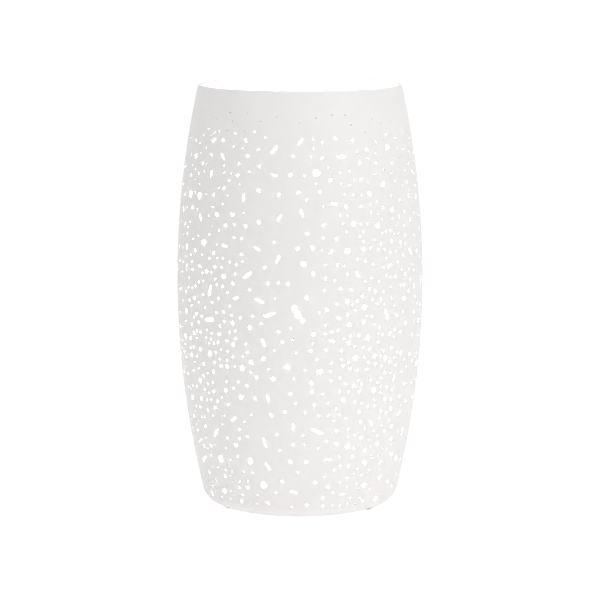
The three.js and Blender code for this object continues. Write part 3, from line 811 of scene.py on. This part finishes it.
steatite = finish(
    "pressed steatite",
    lambda t: tinted(t, grain(t, 5, 5).outputs[0], "#e2dac7", "#ece5d6"),
    lambda t: ranged(t, grain(t, 0.8).outputs[0], 0.6, 0.78),
    lambda t: bumped(t, grain(t, 0.4, 4).outputs[0], 0.03),
)
PIN_RADIUS, PIN_HEAD = 2.2, 3.4
insert = turned(
    "contact_carrier",
    [
        (PIN_RADIUS + 0.3, INSERT_LOW),
        (SPIGOT - 0.3, INSERT_LOW),
        (SPIGOT - 0.3, INSERT_TOP),
        (PIN_RADIUS + 0.3, INSERT_TOP),
    ],
)
apply_modifier(insert, "BEVEL", width=0.3 * MM, segments=3, limit_method="ANGLE")
dressed(insert, steatite, "steatite", "lamp", "holder_insert")

brass = finish(
    "stamped and turned brass",
    lambda t: tinted(t, grain(t, 3).outputs[0], "#b9923f", "#cfab57"),
    lambda t: brushed(t, 0.24, 0.4, stretch=(1, 1, 1)),
    lambda t: bumped(t, grain(t, 0.3).outputs[0], 0.006),
    Metallic=1.0,
)
pin_low, pin_top = span("centre_contact")
pin = turned(
    "sprung_contact_pin",
    [
        (0, pin_low),
        (PIN_RADIUS + 0.6, pin_low),
        (PIN_RADIUS + 0.8, pin_low + 0.2),
        (PIN_RADIUS + 0.8, pin_low + 1.2),
        (PIN_RADIUS + 0.6, pin_low + 1.4),
        (PIN_RADIUS, pin_low + 1.4),
        (PIN_RADIUS, pin_top - 1),
        (PIN_HEAD - 0.15, pin_top - 1),
        (PIN_HEAD, pin_top - 0.8),
        *arc(PIN_HEAD - 0.55, pin_top - 0.6, 0.5, 0, 80, 4),
        (1.0, pin_top - 0.02),
        (0, pin_top),
    ],
    segments=48,
)
dressed(pin, brass, "contact_brass", "contact_pin", "centre_contact")

spring_steel = finish(
    "drawn spring wire",
    lambda t: tinted(t, grain(t, 2).outputs[0], "#8f9297", "#a8abb0"),
    lambda t: brushed(t, 0.25, 0.4, stretch=(1, 1, 1)),
    Metallic=1.0,
)
coil_low, coil_high = span("contact_spring")
WIRE, COIL_TURNS, COIL_STEPS = 0.25, 3, 32
coil_radius = width_of("contact_spring") / 2 - WIRE
data = bpy.data.curves.new("contact_coil", "CURVE")
data.dimensions, data.bevel_depth, data.bevel_resolution, data.use_fill_caps = "3D", WIRE * MM, 3, True
spline = data.splines.new("POLY")
count = COIL_TURNS * COIL_STEPS
spline.points.add(count)
for i, point in enumerate(spline.points):
    a = math.tau * COIL_TURNS * i / count
    height = coil_low + WIRE + 0.02 + (coil_high - coil_low - 2 * WIRE - 0.04) * i / count
    point.co = (*(Vector((coil_radius * math.cos(a), coil_radius * math.sin(a), height)) * MM), 1)
coil = bpy.data.objects.new("contact_coil", data)
bpy.context.collection.objects.link(coil)
select_only(coil)
bpy.ops.object.convert(target="MESH")
coil = bpy.context.object
smooth(coil, 60)
dressed(coil, spring_steel, "spring_steel", "lamp", "contact_spring")
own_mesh(coil)

# The side contact is a bent strip that bears on the bulb's cap. The terminals and their screws stand
# under the carrier, inside the cap, as the frame has them.
low_corner, high_corner = (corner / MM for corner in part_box("side_contact"))
strip = block("side_contact_foot", low_corner, (high_corner.x, high_corner.y, low_corner.z + 0.5))
cut(strip, block("upright", (high_corner.x - 0.5, low_corner.y, low_corner.z), high_corner), "UNION")
apply_modifier(strip, "BEVEL", width=0.2 * MM, segments=3, limit_method="ANGLE")
smooth(strip)
strip.name = "side_contact_strip"
dressed(strip, brass, "contact_brass", "lamp", "side_contact")


def refinish(made, *nodes):
    """Gives frame nodes that show as they are a finish of their own."""
    for node in nodes:
        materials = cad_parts[node].data.materials
        materials.clear()
        materials.append(made)


refinish(brass, "terminal_live", "terminal_neutral")
refinish(zinc, "terminal_screw_live", "terminal_screw_neutral", "holder_grub_screw")


# ---- Bulb -----------------------------------------------------------------------------------------
# A clear filament bulb with an E27 cap: blown glass sealed to a glass foot, and four lit filaments of
# diodes under yellow phosphor. The cap is nickel-plated brass with a rolled thread, and black glass
# insulates the soldered contact at its tip.
GLASS_LOW, GLASS_TOP = span("bulb_glass")
BULB_RADIUS = 30
GLASS_WALL = 0.9
NECK = 12.5
SKIRT_TOP = span("bulb_cap")[1]
crown = GLASS_TOP - BULB_RADIUS


def bezier(points, steps):
    """Points along a cubic curve."""
    made = []
    for i in range(1, steps):
        t = i / steps
        weights = ((1 - t) ** 3, 3 * t * (1 - t) ** 2, 3 * t * t * (1 - t), t**3)
        made.append(tuple(sum(w * p[k] for w, p in zip(weights, points)) for k in (0, 1)))
    return made


def glass_outline(inset):
    """From the neck, through a smooth swelling, to a ball that it meets 35 degrees below its middle."""
    radius, neck, reach, meet = BULB_RADIUS - inset, NECK - inset, 12, math.radians(-35)
    start = (neck, SKIRT_TOP + 3)
    end = (radius * math.cos(meet), crown + radius * math.sin(meet))
    leaving = (neck, start[1] + reach)
    arriving = (end[0] + reach * math.sin(meet), end[1] - reach * math.cos(meet))
    swelling = bezier((start, leaving, arriving, end), 16)
    ball = arc(0, crown, radius, -35, 90, 26)[:-1]
    return [(neck, GLASS_LOW), start, *swelling, *ball, (0, crown + radius)]


def clear_glass(name):
    """Glass that lamps shine through: a clear shader takes over for light on its way to a surface."""
    made = bpy.data.materials.new(name)
    tree = new_tree(made)
    glass = add(tree, "ShaderNodeBsdfPrincipled", Base_Color=linear("#fdfdfd"), Roughness=0.0, IOR=1.5)
    glass.inputs["Transmission Weight"].default_value = 1.0
    clear = add(tree, "ShaderNodeBsdfTransparent", Color=linear("#fdfdfd")).outputs[0]
    path = add(tree, "ShaderNodeLightPath").outputs
    light = larger(tree, path["Is Shadow Ray"], path["Is Diffuse Ray"])
    add(tree, "ShaderNodeOutputMaterial", links={"Surface": mixed(tree, light, glass.outputs[0], clear)})
    return made


blown_glass = clear_glass("blown soda glass")
globe = turned("bulb_globe", [*glass_outline(0), *reversed(glass_outline(GLASS_WALL))], segments=96)
dressed(globe, blown_glass, "bulb_glass", "bulb", "bulb_glass")

stem_low, stem_top = span("bulb_stem")
stem_flare = width_of("bulb_stem") / 2
PINCH_RADIUS = 3.4  # of the glass where it's pressed onto the wires
pinch = span("lead_wire_1")[0] + 3.15  # the top of that part
flare, waist = (stem_flare, stem_low + 0.6), (4.8, pinch - 10)
stem = turned(
    "glass_foot_and_rod",
    [
        (0, stem_low),
        (stem_flare - 0.3, stem_low),
        flare,
        *bezier((flare, (6, stem_low + 1.5), (5.2, pinch - 14), waist), 8),
        *bezier((waist, (4.2, pinch - 7), (PINCH_RADIUS, pinch - 7), (PINCH_RADIUS, pinch - 4)), 5),
        (PINCH_RADIUS, pinch),
        *arc(1.6 + 1.8, pinch + 1.8, 1.8, -90, -180, 5)[1:],
        (1.6, stem_top - 1),
        *arc(0.6, stem_top - 1, 1.0, 0, 80, 4),
        (0, stem_top),
    ],
    segments=48,
)
dressed(stem, blown_glass, "bulb_glass", "bulb", "bulb_stem")

nickel = finish(
    "nickel-plated brass",
    lambda t: tinted(t, grain(t, 6).outputs[0], "#c2bfb6", "#d3d0c8"),
    lambda t: brushed(t, 0.16, 0.3),
    lambda t: bumped(t, grain(t, 0.5).outputs[0], 0.006),
    Metallic=1.0,
)
CAP_LOW = span("bulb_cap")[0]
BULB_THREAD = 13.1
cap_root = BULB_THREAD - THREAD_DEPTH
cap_inside = cap_root - 0.35
thread_low = CAP_LOW + 1.6
thread_top = thread_low + 4 * THREAD_PITCH
collar = NECK + 0.3
cap_shell = turned(
    "bulb_screw_cap",
    [
        (cap_inside, CAP_LOW),
        (cap_root - 0.3, CAP_LOW),
        (cap_root, CAP_LOW + 0.4),
        *rows(cap_root, thread_low, thread_top, THREAD_PITCH / 10),
        (collar + 0.35, thread_top + 1.2),
        (collar + 0.45, thread_top + 1.5),
        (collar + 0.45, SKIRT_TOP - 0.2),
        (collar + 0.25, SKIRT_TOP),
        (collar, SKIRT_TOP - 0.2),
        (collar, thread_top + 1.2),
        (cap_inside, thread_top),
    ],
    segments=96,
)
threaded(cap_shell, thread_low, thread_top, cap_root, THREAD_PITCH, THREAD_DEPTH)
dressed(cap_shell, nickel, "cap_nickel", "bulb", "bulb_cap")

vitrite = finish(
    "black insulator glass",
    lambda t: tinted(t, grain(t, 2).outputs[0], "#17171b", "#232329"),
    lambda t: ranged(t, grain(t, 1).outputs[0], 0.12, 0.3),
    IOR=1.52,
)
low, high = span("bulb_insulator")
seat = (cap_inside - 0.3, high - 1.5)
insulator = turned(
    "bulb_insulator_ring",
    [
        (0, low),
        (5, low),
        *bezier(((5, low), (8, low + 0.2), (cap_inside - 1, high - 3), seat), 6),
        (cap_inside - 0.3, high),
        (0, high),
    ],
)
dressed(insulator, vitrite, "insulator_glass", "bulb", "bulb_insulator")

solder = finish(
    "dull tin solder",
    lambda t: tinted(t, grain(t, 2, 5).outputs[0], "#98989c", "#b4b4b7"),
    lambda t: ranged(t, grain(t, 0.7).outputs[0], 0.35, 0.55),
    lambda t: bumped(t, grain(t, 1.2, 4).outputs[0], 0.05),
    Metallic=1.0,
)
low, high = span("bulb_contact")
blob = turned(
    "bulb_tip_contact",
    [
        (0, low),
        (1.4, low + 0.05),
        (2.6, low + 0.3),
        (3.7, low + 0.7),
        (4.3, low + 1.1),
        (4.35, high),
        (0, high),
    ],
    segments=48,
)
dressed(blob, solder, "solder", "bulb", "bulb_contact")

# The filaments: a sapphire strip of blue diodes in a jacket of silicone and yellow phosphor, which
# glows nearly white and far brighter than daylight, with a bare tab welded on at each end.
phosphor = finish(
    "lit phosphor silicone",
    lambda t: tinted(t, grain(t, 1).outputs[0], "#f3d58a", "#f8e2a4"),
    0.5,
    Emission_Color=linear("#fff9f4"),
    Emission_Strength=4500.0,
)
wire = finish(
    "drawn nickel wire",
    lambda t: tinted(t, grain(t, 2).outputs[0], "#b9b7b0", "#cbc9c3"),
    lambda t: brushed(t, 0.25, 0.4, stretch=(1, 1, 1)),
    Metallic=1.0,
)
FILAMENT_RADIUS, TAB_RADIUS, TAB_LENGTH = 0.9, 0.45, 1.8
FOOT_RADIUS, HEAD_RADIUS = 7, 5
for number in (1, 2, 3, 4):
    node = f"led_filament_{number}"
    low, high = span(node)
    low, high = low + 0.05, high - 0.05
    a = math.radians(90 * number - 45)
    foot = Vector((FOOT_RADIUS * math.cos(a), FOOT_RADIUS * math.sin(a), low))
    head = Vector((HEAD_RADIUS * math.cos(a), HEAD_RADIUS * math.sin(a), high))
    length = (head - foot).length
    filament = turned(
        f"filament_{number}",
        [
            (0, 0),
            (TAB_RADIUS, 0),
            (TAB_RADIUS, TAB_LENGTH),
            *arc(FILAMENT_RADIUS - 0.3, TAB_LENGTH + 0.3, 0.3, -90, 0, 3),
            *arc(FILAMENT_RADIUS - 0.3, length - TAB_LENGTH - 0.3, 0.3, 0, 90, 3),
            (TAB_RADIUS, length - TAB_LENGTH),
            (TAB_RADIUS, length),
            (0, length),
        ],
        segments=20,
    )
    filament.data.materials.append(phosphor)
    filament.data.materials.append(wire)
    for face in filament.data.polygons:
        reach = face.center.z / MM
        if not TAB_LENGTH + 0.01 < reach < length - TAB_LENGTH - 0.01:
            face.material_index = 1
    lean = (head - foot).to_track_quat("Z", "Y").to_matrix().to_4x4()
    filament.matrix_world = Matrix.Translation(foot * MM) @ lean
    select_only(filament)
    bpy.ops.object.transform_apply(location=True, rotation=True, scale=True)
    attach(filament, "bulb")
    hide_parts(node)

# The wires that feed them: a cross over the rod joins the upper ends, and on each side a wire out of
# the glass foot carries a bar under the lower ends of two filaments.
low, high = span("filament_spider")
spider_z, spider_wire = (low + high) / 2, (high - low) / 2
arm = HEAD_RADIUS + 0.9
arms = []
for a in (math.radians(45), math.radians(135)):
    x, y = arm * math.cos(a), arm * math.sin(a)
    arms.append(rod("spider_arm", spider_wire, (-x, -y, spider_z), (x, y, spider_z), segments=16, bevel=0.1))
first, second = arms
cut(first, second, "UNION")
first.name = "wire_spider"
smooth(first, 40)
dressed(first, wire, "wire_nickel", "bulb", "filament_spider")

FEED_WIRE = 0.38  # radius
for number, side in ((1, -1), (2, 1)):
    node = f"lead_wire_{number}"
    low_corner, high_corner = (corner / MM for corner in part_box(node))
    bar_x = side * FOOT_RADIUS * math.cos(math.radians(45))
    bar_z = high_corner.z - FEED_WIRE - 0.02
    start = (side * (PINCH_RADIUS + 0.3 + 0.4), 0, low_corner.z + 0.1)
    riser = rod("riser", FEED_WIRE, start, (bar_x, 0, bar_z), segments=16)
    near_end, far_end = (bar_x, low_corner.y + 0.02, bar_z), (bar_x, high_corner.y - 0.02, bar_z)
    bar = rod("bar", FEED_WIRE, near_end, far_end, segments=16)
    cut(riser, bar, "UNION")
    riser.name = f"feed_wire_{number}"
    smooth(riser, 40)
    dressed(riser, wire, "wire_nickel", "bulb", node)

# The driver inside the screw cap: a small board, and its capacitor in a printed sleeve.
board = finish(
    "solder mask on glass-epoxy board",
    lambda t: tinted(t, grain(t, 3).outputs[0], "#1f5a38", "#2d7449"),
    lambda t: ranged(t, grain(t, 1).outputs[0], 0.35, 0.5),
)
sleeve = finish(
    "shrunk vinyl sleeve",
    lambda t: tinted(t, grain(t, 3).outputs[0], "#222c3a", "#2f3b4c"),
    lambda t: ranged(t, grain(t, 1).outputs[0], 0.25, 0.4),
)
refinish(board, "driver_board")
refinish(sleeve, "driver_capacitor")
